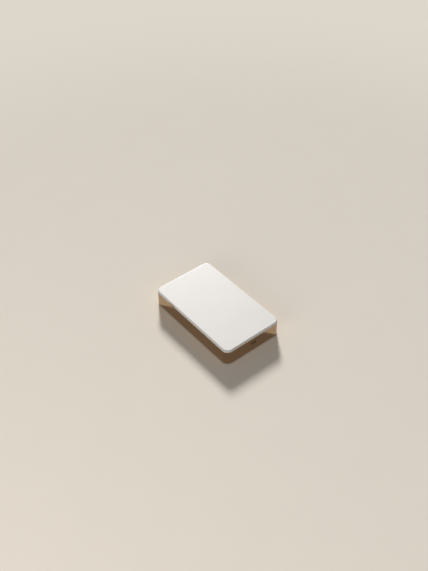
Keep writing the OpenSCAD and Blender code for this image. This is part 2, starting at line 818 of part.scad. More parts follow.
// Flat cable from the print head: along the left channel, down behind the side plate,
// and over to the plug on the main board
module head_flex() {
    y = -side_out - 1.2;
    x = side_x1 + gap;
    z = board_top + plug_h;
    color([0.75, 0.48, 0.20]) {
        box_between([platen_x + 1, y, flex_top - 5], [x + 3.5, y + film_t, flex_top]);
        box_between([x, y, z], [x + 3.5, y + film_t, flex_top - 4]);
        box_between([x, y, z], [x + 3.5, 25, z + film_t]);
        box_between([x, 15, z], [board_at[0] - board_l / 2 + 4.5, 25, z + film_t]);
        box_between([platen_x + 1, y, flex_top - film_t], [platen_x + 6, -side_out, flex_top]);
    }
}

/* Frame of the print mechanism */

// Outline of a side plate in x and z, lightened between the roller bearings
module side_outline() {
    difference() {
        polygon([
            [side_x0, 5], [side_x0 + 3, 3], [plate_foot_x, 3], [plate_foot_x, base_top],
            [plate_foot_x + plate_foot_l, base_top], [plate_foot_x + plate_foot_l, 3],
            [side_x1, 3], [side_x1, tray_top - 3], [side_x1 - 3, tray_top],
            [platen_x + 12, tray_top], [platen_x + 9, side_z1], [side_x0 + 2, side_z1],
            [side_x0, side_z1 - 2]
        ]);
        for (p = [[platen_x, platen_z], [exit_x, exit_z], [pickup_x, pickup_z]])
            translate(p) circle(shaft_r + 0.9);
        translate(head_pivot) circle(head_pin_r + shaft_play);
        translate([pickup_x + 1, floor_z + 3.6]) pill(7, 3);
    }
}

// Inward foot that the base screws hold
module side_foot() {
    difference() {
        box_between([plate_foot_x, side_in - 5, base_top],
            [plate_foot_x + plate_foot_l, side_in + eps, base_top + side_t]);
        for (p = foot_screw_at) translate([p[0], abs(p[1]), base_top - 1])
            cylinder(r = screw_r, h = 4);
    }
}

module left_side_plate() {
    color([0.66, 0.68, 0.70]) {
        difference() {
            across(-side_out, side_t) side_outline();
            // Notch that the motor's wires lie in
            box_between([motor_at[0] - 1.2, -side_out - 1, motor_at[1] + lead_rise[0] - 0.6],
                [motor_at[0] + 1.5, -side_in + 1, side_z1 + 1]);
        }
        mirror([0, 1, 0]) side_foot();
    }
}

// The right plate also carries the motor and the posts of the idle gears
module right_side_plate() {
    color([0.66, 0.68, 0.70]) {
        difference() {
            across(side_in, side_t) side_outline();
            bar(motor_at[0], motor_at[1], motor_boss_r, side_in - 1, side_t + 2);
            for (s = [-1, 1])
                bar(motor_at[0] + s * motor_screw_x, motor_at[1], motor_screw_r, side_in - 1, side_t + 2);
        }
        side_foot();
        for (p = [exit_idler_at, feed_idler_at])
            bar(p[0], p[1], post_r, side_out - eps, gear_y1 + gear_t - side_out + 0.2);
        bar(reduction_at[0], reduction_at[1], post_r, side_out - eps,
            gear_y2 + gear_t - side_out + 0.15);
    }
}

module shaft_bushes() {
    color([0.80, 0.62, 0.32]) for (p = [[platen_x, platen_z], [exit_x, exit_z], [pickup_x, pickup_z]])
        both_sides() difference() {
            union() {
                bar(p[0], p[1], shaft_r + 0.9, side_in, side_t);
                bar(p[0], p[1], shaft_r + 1.4, side_in - 0.4, 0.4);
            }
            bar(p[0], p[1], shaft_r + shaft_play, side_in - 1, side_t + 2);
        }
}

// Bridge over the print head that the head springs push against
module head_bridge() {
    x0 = platen_x - 5.5;
    color([0.66, 0.68, 0.70]) difference() {
        union() {
            box_between([x0, -side_in, bridge_z], [x0 + 10, side_in, bridge_z + 0.8]);
            box_between([x0 + 9.2, -side_in, bridge_z - 1.6], [x0 + 10, side_in, bridge_z + eps]);
        }
        for (y = [-26 : 13 : 26]) translate([platen_x - 1.5, y, bridge_z - 1])
            cylinder(r = 2.4, h = 4);
    }
}

/* Rollers */

module platen_shaft() {
    color([0.78, 0.79, 0.80]) bar(platen_x, platen_z, shaft_r, -side_out - 0.5,
        side_out + 0.5 + gear_y1 + gear_t);
}

module platen_rubber() {
    color([0.14, 0.14, 0.15]) difference() {
        bar(platen_x, platen_z, platen_r, 1 - well_w, 2 * well_w - 2);
        bar(platen_x, platen_z, shaft_r, -well_w, 2 * well_w);
    }
}

module pickup_shaft() {
    color([0.78, 0.79, 0.80]) bar(pickup_x, pickup_z, shaft_r, -side_out - 0.5,
        side_out + 0.5 + gear_y1 + gear_t);
}

module tyres(x, z, r, y0, w) {
    both_sides() difference() {
        union() {
            bar(x, z, r, y0, w);
            bar(x, z, hub_r, y0 - 0.8, w + 1.6);
        }
        bar(x, z, shaft_r, y0 - 2, w + 4);
    }
}

module pickup_tyres() {
    color([0.14, 0.14, 0.15]) tyres(pickup_x, pickup_z, pickup_r, tyre_y0, tyre_w);
}

module exit_shaft() {
    color([0.78, 0.79, 0.80]) bar(exit_x, exit_z, shaft_r, -side_out - 0.5,
        side_out + 0.5 + gear_y1 + gear_t);
}

module exit_tyres() {
    color([0.14, 0.14, 0.15]) tyres(exit_x, exit_z, exit_r, 6, 6);
}

module pinch_shaft() {
    color([0.78, 0.79, 0.80]) bar(exit_x, pinch_z, pinch_shaft_r, -15.2, 30.4);
}

module pinch_tyres() {
    color([0.14, 0.14, 0.15]) both_sides() difference() {
        bar(exit_x, pinch_z, pinch_r, 6.5, 5);
        bar(exit_x, pinch_z, pinch_shaft_r, 6, 6);
    }
}

/* Gears */

// Half the angle that a tooth takes at radius q, for a gear of that many teeth
function tooth_half(teeth, q) =
    let (r = pitch(teeth), base = r * cos(flank_angle), a = acos(min(1, base / q)))
    90 / teeth - backlash / r * 90 / PI + (tan(flank_angle) - tan(a)) * 180 / PI
        - flank_angle + a;

// Involute outline, stub teeth, first tooth along angle phase
module gear_outline(teeth, phase) {
    r = pitch(teeth);
    base = r * cos(flank_angle);
    root = r - tooth_in;
    radii = [root, max(base, root + 0.1), r, r + tooth_out / 2, r + tooth_out];
    last = len(radii) - 1;
    polygon([for (k = [0 : teeth - 1]) for (s = [-1, 1]) for (j = [0 : last])
        let (i = s < 0 ? j : last - j)
        polar(radii[i], phase + 360 * k / teeth + s * tooth_half(teeth, max(base, radii[i])))]);
}

module gear(at, teeth, phase, y0, hole) {
    color([0.90, 0.89, 0.85]) difference() {
        translate([at[0], y0 + gear_t, at[1]]) rotate([90, 0, 0])
            linear_extrude(gear_t) gear_outline(teeth, phase);
        bar(at[0], at[1], hole, y0 - 1, gear_t + 2);
        // A wheel large enough has its web cut by round windows
        if (pitch(teeth) > 5) for (a = [0 : 60 : 300])
            bar(at[0] + 0.62 * pitch(teeth) * cos(a), at[1] + 0.62 * pitch(teeth) * sin(a),
                0.17 * pitch(teeth), y0 - 1, gear_t + 2);
    }
}

module platen_gear() {
    gear([platen_x, platen_z], platen_teeth, 0, gear_y1, shaft_r);
}

module exit_gear() {
    gear([exit_x, exit_z], exit_teeth, exit_phase, gear_y1, shaft_r);
}

module pickup_gear() {
    gear([pickup_x, pickup_z], pickup_teeth, pickup_phase, gear_y1, shaft_r);
}

module exit_idler() {
    gear(exit_idler_at, exit_idler_teeth, exit_idler_phase, gear_y1, post_r + shaft_play);
}

module feed_idler() {
    gear(feed_idler_at, feed_idler_teeth, feed_idler_phase, gear_y1, post_r + shaft_play);
}

// Small wheel beside the side plate, large wheel beside the band, on one hub
module reduction_gear() {
    gear(reduction_at, small_teeth, small_phase, gear_y1, post_r + shaft_play);
    gear(reduction_at, large_teeth, 0, gear_y2, post_r + shaft_play);
    color([0.90, 0.89, 0.85]) difference() {
        bar(reduction_at[0], reduction_at[1], post_r + 0.7, gear_y1 + gear_t - eps, fit + 2 * eps);
        bar(reduction_at[0], reduction_at[1], post_r + shaft_play, gear_y1, gear_t + fit + 1);
    }
}

module motor_body() {
    color([0.74, 0.75, 0.77]) difference() {
        union() {
            bar(motor_at[0], motor_at[1], motor_r, side_in - motor_l, motor_l);
            bar(motor_at[0], motor_at[1], motor_boss_r, side_in - eps, side_t - 0.1);
            bar(motor_at[0], motor_at[1], 2.2, side_in - motor_l - 0.8, 0.9);
        }
        bar(motor_at[0], motor_at[1], motor_shaft_r + shaft_play, side_in - motor_l - 2, motor_l + 6);
        for (s = [-1, 1])
            bar(motor_at[0] + s * motor_screw_x, motor_at[1], motor_screw_r, side_in - 1.6, 3);
    }
}

module motor_screws() {
    color([0.45, 0.45, 0.47]) for (s = [-1, 1]) {
        bar(motor_at[0] + s * motor_screw_x, motor_at[1], motor_screw_r, side_in - 1.4, side_t + 1.4);
        bar(motor_at[0] + s * motor_screw_x, motor_at[1], 1.1, side_out, 0.6);
    }
}

module motor_shaft() {
    color([0.78, 0.79, 0.80]) bar(motor_at[0], motor_at[1], motor_shaft_r,
        side_in - motor_l - 1.4, motor_l + 1.4 + gear_y2 + gear_t - side_in);
}

module motor_pinion() {
    gear(motor_at, pinion_teeth, pinion_phase, gear_y2, motor_shaft_r);
}

/* Print head */

// Finned carrier bar that swings on its end pins
module head_carrier() {
    z0 = path_z + 1.2;
    color([0.80, 0.81, 0.82]) {
        across(-carrier_w, 2 * carrier_w) {
            translate([platen_x - 5.5, z0]) square([head_pivot[0] - platen_x + 5.5, 1.6]);
            translate(head_pivot) circle(1.5);
            for (x = [-5.5, 1.2, 3]) translate([platen_x + x, z0]) square([0.8, 3.2]);
        }
        both_sides() bar(head_pivot[0], head_pivot[1], head_pin_r, carrier_w - eps,
            side_out - carrier_w);
    }
}

// Ceramic bar with its raised glaze line over the platen
module print_head() {
    z0 = path_z + 0.45;
    color([0.92, 0.90, 0.84]) across(1 - well_w, 2 * well_w - 2) {
        translate([platen_x - 3.5, z0]) square([7, path_z + 1.2 - z0]);
        intersection() {
            translate([platen_x, path_z + gap + 0.6]) circle(0.6);
            translate([platen_x - 1, path_z]) square([2, 1]);
        }
    }
}

module head_springs() {
    color([0.70, 0.70, 0.72]) for (y = [-19.5, 19.5])
        translate([platen_x - 2, y, path_z + 2.8])
            coil(1.9, 0.2, bridge_z - path_z - 2.8, 3);
}

/* Paper guides */

// Roof over the exit path, with the saddles of the pinch rollers
module exit_guide() {
    x1 = platen_x - 7;
    color([0.24, 0.24, 0.26]) difference() {
        union() {
            box_between([front_x + 2, -side_in, path_z + 0.6], [x1, side_in, path_z + 1.2]);
            box_between([front_x + 2, -side_in, path_z + 0.6], [front_x + 2.8, side_in, path_z + 2.4]);
            both_sides() box_between([exit_x - 2, 13.6, path_z + 0.6],
                [exit_x + 2, 15, pinch_z + 1.6]);
        }
        both_sides() bar(exit_x, pinch_z, pinch_shaft_r + shaft_play, 12, 5);
        box_between([exit_x - 2.6, -13, path_z], [exit_x + 2.6, 13, path_z + 3]);
    }
}

// Ribbed floor that carries the sheet from the platen to the exit roller
module lower_guide() {
    x0 = exit_x + exit_r + 0.8;
    x1 = platen_x - platen_r - 0.8;
    color([0.24, 0.24, 0.26]) {
        box_between([x0, -side_in, path_z - 3], [x1, side_in, path_z - 1.2]);
        for (y = [-33 : 6 : 33])
            box_between([x0, y - 0.5, path_z - 2], [x1, y + 0.5, path_z - 0.4]);
    }
}

/* The pieces */

side_band();
base_cover();
rubber_feet();
base_screws();
top_cover();
hinge_pins();
power_button();
status_lens();
paper_tray();
pressure_plate();
plate_springs();
left_side_plate();
right_side_plate();
shaft_bushes();
platen_shaft();
platen_rubber();
platen_gear();
pickup_shaft();
pickup_tyres();
pickup_gear();
exit_shaft();
exit_tyres();
exit_gear();
exit_idler();
feed_idler();
reduction_gear();
motor_body();
motor_screws();
motor_shaft();
motor_pinion();
head_carrier();
print_head();
head_springs();
head_bridge();
exit_guide();
lower_guide();
pinch_shaft();
pinch_tyres();
main_board();
board_parts();
rear_board();
usb_shell();
usb_tongue();
button_switch();
reset_switch();
battery();
head_flex();
battery_leads();
motor_leads();
button_flex();
rear_flex();
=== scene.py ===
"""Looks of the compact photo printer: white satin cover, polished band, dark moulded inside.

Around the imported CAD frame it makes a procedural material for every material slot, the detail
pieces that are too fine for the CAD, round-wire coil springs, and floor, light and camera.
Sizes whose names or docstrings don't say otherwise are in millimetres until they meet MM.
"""
import json
from math import cos, pi, radians, sin

import bmesh
import bpy
from mathutils import Matrix, Vector


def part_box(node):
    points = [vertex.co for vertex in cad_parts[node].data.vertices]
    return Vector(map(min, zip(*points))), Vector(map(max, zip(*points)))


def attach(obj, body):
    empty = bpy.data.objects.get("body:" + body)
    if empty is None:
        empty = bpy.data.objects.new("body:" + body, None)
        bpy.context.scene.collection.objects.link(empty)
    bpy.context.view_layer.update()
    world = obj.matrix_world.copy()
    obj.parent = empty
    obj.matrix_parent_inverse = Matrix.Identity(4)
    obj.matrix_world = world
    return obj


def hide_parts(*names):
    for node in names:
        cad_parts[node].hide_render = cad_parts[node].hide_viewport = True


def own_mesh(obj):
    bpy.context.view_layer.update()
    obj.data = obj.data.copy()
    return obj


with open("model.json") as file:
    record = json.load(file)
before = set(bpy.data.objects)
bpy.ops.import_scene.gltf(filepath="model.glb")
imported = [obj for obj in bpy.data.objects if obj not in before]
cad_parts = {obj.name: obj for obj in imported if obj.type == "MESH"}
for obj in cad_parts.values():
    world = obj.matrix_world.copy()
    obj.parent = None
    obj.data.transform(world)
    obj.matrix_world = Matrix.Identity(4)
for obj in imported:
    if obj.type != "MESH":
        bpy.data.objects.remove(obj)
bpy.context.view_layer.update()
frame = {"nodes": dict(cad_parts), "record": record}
nodes = frame["nodes"]
MM = 0.001


# ---- material building blocks ----

# Most of a noise texture's values lie between these two
NOISE_LOW, NOISE_HIGH = 0.3, 0.7


def combine(tree, operation, first, second):
    """Output of a Math node on two sockets."""
    made = tree.nodes.new("ShaderNodeMath")
    made.operation = operation
    tree.links.new(first, made.inputs[0])
    tree.links.new(second, made.inputs[1])
    return made.outputs[0]


def mix_surface(tree, output, fac, first, second):
    """Sends a mix of two shaders to the output node: fac 0 is the first, 1 the second."""
    mix = tree.nodes.new("ShaderNodeMixShader")
    tree.links.new(fac, mix.inputs["Fac"])
    tree.links.new(first.outputs[0], mix.inputs[1])
    tree.links.new(second.outputs[0], mix.inputs[2])
    tree.links.new(mix.outputs[0], tree.nodes[output].inputs["Surface"])


class Shader:
    """A principled surface whose colour, roughness and bump come from procedural textures."""

    def __init__(self, name, rough, metal=0.0, **sockets):
        self.material = bpy.data.materials.new(name)
        self.material.use_nodes = True
        self.tree = self.material.node_tree
        self.bsdf = self.tree.nodes["Principled BSDF"]
        self.bsdf.inputs["Roughness"].default_value = rough
        self.bsdf.inputs["Metallic"].default_value = metal
        for socket, value in sockets.items():
            self.bsdf.inputs[socket.replace("_", " ")].default_value = value
        self.place = self.node("ShaderNodeTexCoord").outputs["Object"]
        self.normal = None

    def node(self, kind, **inputs):
        """New node with values for its inputs; _ in a name stands for a space."""
        made = self.tree.nodes.new(kind)
        for key, value in inputs.items():
            made.inputs[key.replace("_", " ")].default_value = value
        return made

    def link(self, source, target):
        self.tree.links.new(source, target)

    def feed(self, socket, source):
        """Links a source to a socket of the surface."""
        self.link(source, self.bsdf.inputs[socket])

    def noise(self, size_mm, detail, stretch=(1, 1, 1)):
        """Noise whose features are about size_mm across, stretched along the axes."""
        mapping = self.node("ShaderNodeMapping", Scale=[1 / s for s in stretch])
        self.link(self.place, mapping.inputs["Vector"])
        tex = self.node("ShaderNodeTexNoise", Scale=1 / (size_mm * MM), Detail=detail)
        self.link(mapping.outputs[0], tex.inputs["Vector"])
        return tex.outputs["Fac"]

    def cells(self, size_mm):
        """Distance from the nearest of points about size_mm apart."""
        tex = self.node("ShaderNodeTexVoronoi", Scale=1 / (size_mm * MM))
        self.link(self.place, tex.inputs["Vector"])
        return tex.outputs["Distance"]

    def ramp(self, fac, low, high):
        """Colour ramp between two stops, each a (position, colour)."""
        made = self.node("ShaderNodeValToRGB")
        for element, (position, colour) in zip(made.color_ramp.elements, (low, high)):
            element.position = position
            element.color = (*colour, 1)
        self.link(fac, made.inputs["Fac"])
        return made.outputs["Color"]

    def colour(self, base, fac, spread):
        """Base colour that drifts by spread either way with fac."""
        dark = [c * (1 - spread) for c in base]
        light = [min(1, c * (1 + spread)) for c in base]
        self.feed("Base Color", self.ramp(fac, (NOISE_LOW, dark), (NOISE_HIGH, light)))

    def roughness(self, fac, low, high):
        """Roughness that drifts from low to high with fac."""
        made = self.node("ShaderNodeMapRange", From_Min=NOISE_LOW, From_Max=NOISE_HIGH,
                         To_Min=low, To_Max=high)
        self.link(fac, made.inputs["Value"])
        self.feed("Roughness", made.outputs[0])

    def add_roughness(self, fac, more):
        """Raises the roughness that is linked already, by more where fac is 1."""
        made = self.node("ShaderNodeMath")
        made.operation = "MULTIPLY_ADD"
        self.link(fac, made.inputs[0])
        made.inputs[1].default_value = more
        self.link(self.bsdf.inputs["Roughness"].links[0].from_socket, made.inputs[2])
        self.feed("Roughness", made.outputs[0])

    def between(self, axis, low_mm, high_mm):
        """0 below low_mm along an axis, 1 above high_mm."""
        split = self.node("ShaderNodeSeparateXYZ")
        self.link(self.place, split.inputs[0])
        made = self.node("ShaderNodeMapRange", From_Min=low_mm * MM, From_Max=high_mm * MM)
        self.link(split.outputs[axis], made.inputs["Value"])
        return made.outputs[0]

    def bump(self, fac, depth_mm):
        """Relief of depth_mm, on top of any relief given before."""
        made = self.node("ShaderNodeBump", Strength=1.0, Distance=depth_mm * MM)
        self.link(fac, made.inputs["Height"])
        if self.normal:
            self.link(self.normal, made.inputs["Normal"])
        self.normal = made.outputs["Normal"]
        self.feed("Normal", self.normal)


def srgb(r, g, b):
    """Linear colour of an sRGB triple of 0 to 255."""
    return tuple((c / 255 / 12.92) if c <= 10 else ((c / 255 + 0.055) / 1.055) ** 2.4
                 for c in (r, g, b))


# ---- materials ----

RED_JACKET = srgb(158, 38, 30)
AMBER = (0.46, 0.20, 0.035)
FILM_ROUGH, FILM_COAT = 0.28, 0.4


def moulded(name, base, rough, grain_mm=0.25, depth_mm=0.012, spread=0.04):
    """Injection-moulded plastic with a fine spark-eroded grain and faint flow marks."""
    s = Shader(name, rough)
    s.colour(base, s.noise(14, 2), spread)
    s.roughness(s.noise(6, 4), rough - 0.05, rough + 0.06)
    s.bump(s.noise(grain_mm, 5), depth_mm)
    return s.material


def brushed(name, base, rough, along):
    """Metal with rolling marks along one axis."""
    stretch = [40 if axis == along else 1 for axis in "xyz"]
    s = Shader(name, rough, metal=1.0)
    s.colour(base, s.noise(0.35, 4, stretch), 0.06)
    s.roughness(s.noise(0.3, 3, stretch), rough - 0.06, rough + 0.08)
    s.bump(s.noise(0.25, 3, stretch), 0.004)
    return s.material


def turned(name, base, rough):
    """Ground steel or brass bar: fine marks round its axis, which lies along y."""
    stretch = (30, 1, 30)
    s = Shader(name, rough, metal=1.0)
    s.colour(base, s.noise(0.2, 3, stretch), 0.05)
    s.roughness(s.noise(0.15, 3, stretch), rough - 0.04, rough + 0.08)
    return s.material


def rubber(name, base, rough):
    """Matt rubber, or cork, with a coarse grain."""
    s = Shader(name, rough)
    s.colour(base, s.noise(4, 3), 0.10)
    s.roughness(s.noise(1.5, 3), rough - 0.08, rough + 0.08)
    s.bump(s.noise(0.2, 4), 0.02)
    return s.material


def satin_shell():
    """White cover: even satin paint with a very fine grain, no visible pattern."""
    s = Shader("satin_shell", 0.42, Specular_IOR_Level=0.4)
    s.colour(srgb(231, 231, 231), s.noise(30, 2), 0.008)
    s.roughness(s.noise(9, 4), 0.41, 0.44)
    s.bump(s.noise(0.18, 4), 0.004)
    s.bump(s.noise(22, 2), 0.008)
    return s.material


def polished_band():
    """Mirror-polished band, tinted with a painted reflection of brown wood: faint polishing marks
    along its length, and a satin-cut upper edge.
    """
    cut_z, cut_rough = (20.3, 20.7), 0.32
    s = Shader("polished_band", 0.08, metal=1.0)
    # Painted reflection: the metal is neutral, and its warm bronze tint stands in for a brown
    # wooden table mirrored in it
    s.colour(srgb(176, 149, 120), s.noise(18, 3, (3, 3, 0.6)), 0.05)
    s.roughness(s.noise(5, 5, (6, 6, 0.3)), 0.05, 0.11)
    s.add_roughness(s.between("Z", *cut_z), cut_rough)
    s.bump(s.noise(24, 2, (3, 3, 1)), 0.010)
    return s.material


def board_green():
    """Solder mask over copper: lighter along the tracks, with bare plated rings at the vias."""
    mask, track, plated = (0.010, 0.075, 0.040), (0.024, 0.150, 0.080), (0.62, 0.47, 0.20)
    track_mm, via_mm, relief_mm = 3.4, 1.9, 0.02
    s = Shader("board_green", 0.35, Coat_Weight=0.3)
    tracks = s.node("ShaderNodeTexBrick", Color1=(*mask, 1), Color2=(*mask, 1), Mortar=(*track, 1),
                    Scale=1 / (track_mm * MM), Mortar_Size=0.06, Brick_Width=1.3, Row_Height=0.32)
    s.link(s.place, tracks.inputs["Vector"])
    vias = s.ramp(s.cells(via_mm), (0.10, (1, 1, 1)), (0.13, (0, 0, 0)))
    mixed = s.node("ShaderNodeMix")
    mixed.data_type = "RGBA"
    s.link(vias, mixed.inputs["Factor"])
    s.link(tracks.outputs["Color"], mixed.inputs["A"])
    mixed.inputs["B"].default_value = (*plated, 1)
    s.feed("Base Color", mixed.outputs["Result"])
    s.roughness(s.noise(3, 3), 0.30, 0.42)
    s.bump(tracks.outputs["Fac"], relief_mm)
    s.bump(vias, relief_mm)
    return s.material


def cell_foil():
    """Laminated pouch foil with soft creases."""
    s = Shader("cell_foil", 0.32, metal=0.9)
    s.colour((0.50, 0.51, 0.54), s.noise(8, 3), 0.08)
    s.roughness(s.noise(3, 4), 0.26, 0.42)
    s.bump(s.noise(6, 4), 0.12)
    return s.material


def flex_film():
    """Amber polyimide film with copper tracks that show through it."""
    copper, bands_per_m = (0.30, 0.11, 0.015), 900.0
    s = Shader("flex_film", FILM_ROUGH, Coat_Weight=FILM_COAT)
    wave = s.node("ShaderNodeTexWave", Scale=bands_per_m, Distortion=0.0)
    s.link(s.place, wave.inputs["Vector"])
    s.feed("Base Color", s.ramp(wave.outputs["Fac"], (0.45, AMBER), (0.55, copper)))
    s.bump(wave.outputs["Fac"], 0.02)
    return s.material


def amber_tape():
    """The same film as tape: no tracks, and slightly wrinkled."""
    s = Shader("amber_tape", FILM_ROUGH, Coat_Weight=FILM_COAT)
    s.colour(AMBER, s.noise(4, 3), 0.10)
    s.bump(s.noise(3, 3), 0.03)
    return s.material


def two_wires(name, **edges_mm):
    """Black insulation, red beyond any of the edges; X=-2 is an edge at x = -2 mm."""
    blend_mm = 0.01
    s = Shader(name, 0.42)
    beyond = None
    for axis, edge in edges_mm.items():
        past = s.between(axis, edge - blend_mm, edge + blend_mm)
        beyond = combine(s.tree, "MAXIMUM", beyond, past) if beyond else past
    s.feed("Base Color", s.ramp(beyond, (0.4, srgb(32, 32, 34)), (0.6, RED_JACKET)))
    s.roughness(s.noise(2, 3), 0.36, 0.48)
    s.bump(s.noise(0.4, 3), 0.004)
    return s.material


def ceramic():
    """Glazed ceramic of the print head."""
    s = Shader("head_ceramic", 0.22, Coat_Weight=0.5)
    s.colour(srgb(233, 228, 214), s.noise(5, 4), 0.04)
    s.roughness(s.noise(2, 4), 0.16, 0.30)
    s.bump(s.noise(0.3, 4), 0.006)
    return s.material


def lens():
    """Clear plastic of the status light, a little milky."""
    s = Shader("lens_clear", 0.12, Transmission_Weight=0.6, IOR=1.49)
    s.colour((0.85, 0.90, 0.85), s.noise(1, 2), 0.03)
    s.bump(s.noise(0.3, 3), 0.01)
    return s.material


MATERIALS = {
    "white_shell": satin_shell(),
    "polished_band": polished_band(),
    "dark_plastic": moulded("dark_plastic", srgb(58, 58, 61), 0.52),
    "foot_rubber": rubber("foot_rubber", srgb(44, 44, 46), 0.75),
    "dark_screw": brushed("dark_screw", srgb(120, 118, 116), 0.38, "x"),
    "steel_pin": turned("steel_pin", srgb(200, 201, 204), 0.22),
    "sheet_steel": brushed("sheet_steel", srgb(176, 178, 182), 0.34, "x"),
    "bush_bronze": turned("bush_bronze", srgb(196, 156, 92), 0.36),
    "roller_rubber": rubber("roller_rubber", srgb(38, 38, 40), 0.66),
    "gear_plastic": moulded("gear_plastic", srgb(228, 225, 214), 0.40, 0.5, 0.006, 0.02),
    "pinion_brass": turned("pinion_brass", srgb(205, 165, 92), 0.26),
    "motor_steel": brushed("motor_steel", srgb(188, 190, 194), 0.28, "y"),
    "carrier_aluminium": brushed("carrier_aluminium", srgb(202, 204, 208), 0.36, "y"),
    "head_ceramic": ceramic(),
    "spring_steel": turned("spring_steel", srgb(186, 188, 192), 0.30),
    "board_green": board_green(),
    "chip_black": moulded("chip_black", srgb(34, 34, 36), 0.46, 0.15, 0.01),
    "shell_steel": brushed("shell_steel", srgb(204, 206, 209), 0.24, "x"),
    "lens_clear": lens(),
    "cell_foil": cell_foil(),
    "flex_film": flex_film(),
    "lead_jacket": moulded("lead_jacket", RED_JACKET, 0.42, 0.4, 0.004),
}

for part in frame["record"]["subparts"]:
    mesh = nodes[part["node"]].data
    mesh.materials.clear()
    mesh.materials.append(MATERIALS[part["material_slot"]])
# One wire of each pair is black: the edges lie between the two wires of the route
nodes["battery_leads"].data.materials[0] = two_wires("battery_leads", X=-2.0)
nodes["motor_leads"].data.materials[0] = two_wires("motor_leads", X=-48.75, Z=17.545)


# ---- pieces that the CAD leaves to this script ----

SOLDER = brushed("solder", srgb(196, 198, 202), 0.30, "x")
CAPACITOR = moulded("capacitor", srgb(176, 134, 92), 0.46, 0.1, 0.004)
RESISTOR = moulded("resistor", srgb(30, 30, 33), 0.34, 0.1, 0.004)
GOLD = brushed("gold_plate", srgb(222, 178, 96), 0.20, "x")
CORK = rubber("cork_pad", srgb(126, 88, 58), 0.86)
TAPE = amber_tape()
STIFFENER = moulded("stiffener", srgb(24, 58, 122), 0.34, 0.2, 0.004)


def block(bm, low, high, edge, index=0):
    """Adds a block with rounded edges; index is its material's."""
    made = bmesh.ops.create_cube(bm, size=1)["verts"]
    for vert in made:
        vert.co = Vector((low[i] + (vert.co[i] + 0.5) * (high[i] - low[i])) * MM
                         for i in range(3))
    for face in {f for v in made for f in v.link_faces}:
        face.material_index = index
    edges = list({e for v in made for e in v.link_edges})
    bmesh.ops.bevel(bm, geom=edges, offset=edge * MM, segments=2, affect="EDGES", profile=0.5)


def finish_piece(name, bm, materials, body):
    """Turns a bmesh into a smooth piece that rides on a body."""
    mesh = bpy.data.meshes.new(name)
    bm.to_mesh(mesh)
    bm.free()
    for face in mesh.polygons:
        face.use_smooth = True
    for material in materials:
        mesh.materials.append(material)
    piece = bpy.data.objects.new(name, mesh)
    bpy.context.scene.collection.objects.link(piece)
    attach(piece, body)
    return piece


def corners(node):
    """Lowest and highest corner of a CAD node, in millimetres."""
    low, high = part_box(node)
    return [c / MM for c in low], [c / MM for c in high]


def chip_component(bm, x, y, z, along_x, body_index):
    """A small ceramic part with a plated cap at each end."""
    half_l, half_w, height, cap, cap_proud, edge = 0.55, 0.28, 0.42, 0.18, 0.02, 0.05
    for start, end, index, grow in ((-half_l, -half_l + cap, 0, cap_proud),
                                    (half_l - cap, half_l, 0, cap_proud),
                                    (-half_l + cap, half_l - cap, body_index, 0)):
        low = [start, -half_w - grow]
        high = [end, half_w + grow]
        if not along_x:
            low.reverse()
            high.reverse()
        block(bm, [x + low[0], y + low[1], z],
              [x + high[0], y + high[1], z + height + grow], edge, index)


def make_board_details():
    """Small parts and solder joints on the two boards."""
    top = corners("main_board")[1][2]
    bm = bmesh.new()
    places = [(-8.6, 12.5), (-7.0, 12.5), (-8.6, 14.4), (-5.2, 13.2), (-3.0, 13.2), (-8.6, 17.0),
              (-6.6, 17.0), (-4.6, 17.0), (-2.2, 16.4), (-2.2, 18.2), (-8.6, 19.6), (-5.8, 20.6),
              (-3.4, 20.6), (-8.2, 22.6), (-6.0, 23.4), (-3.6, 23.4), (-1.2, 23.4), (1.2, 23.4),
              (3.4, 23.4), (5.8, 23.4), (8.2, 23.4), (10.8, 12.8), (12.4, 12.8), (11.2, 17.8),
              (13.2, 17.8), (11.2, 19.8), (13.2, 19.8), (11.6, 22.6)]
    for k, (x, y) in enumerate(places):
        chip_component(bm, x, y, top, k % 3 != 1, 1 + k % 2)
    # Two groups on the rear board, one on each side of the socket
    rear_low, rear_high = corners("rear_board")
    rear_count, first_x, step_x, first_y, step_y = 14, 2.2, 2.1, 7.6, 1.25
    for k in range(rear_count):
        side = -1 if k % 2 else 1
        chip_component(bm, rear_low[0] + first_x + step_x * (k % 3),
                       side * (first_y + step_y * (k // 2)), rear_high[2], k % 4 < 2, 1 + k % 2)
    # Solder joints round the processor, whose edges are x0 to x1 and y0 to y1
    x0, x1, y0, y1 = 0, 9, 12, 21
    per_side, first, pitch, gap = 12, 0.92, 0.65, 0.02
    pad_l, pad_w, pad_h, pad_edge = 0.36, 0.32, 0.16, 0.04
    for k in range(per_side):
        at = first + k * pitch
        for low, high in (((x0 + at, y0 - pad_l), (x0 + at + pad_w, y0 - gap)),
                          ((x0 + at, y1 + gap), (x0 + at + pad_w, y1 + pad_l)),
                          ((x0 - pad_l, y0 + at), (x0 - gap, y0 + at + pad_w)),
                          ((x1 + gap, y0 + at), (x1 + pad_l, y0 + at + pad_w))):
            block(bm, [*low, top], [*high, top + pad_h], pad_edge)
    finish_piece("board_components", bm, [SOLDER, CAPACITOR, RESISTOR], "printer")


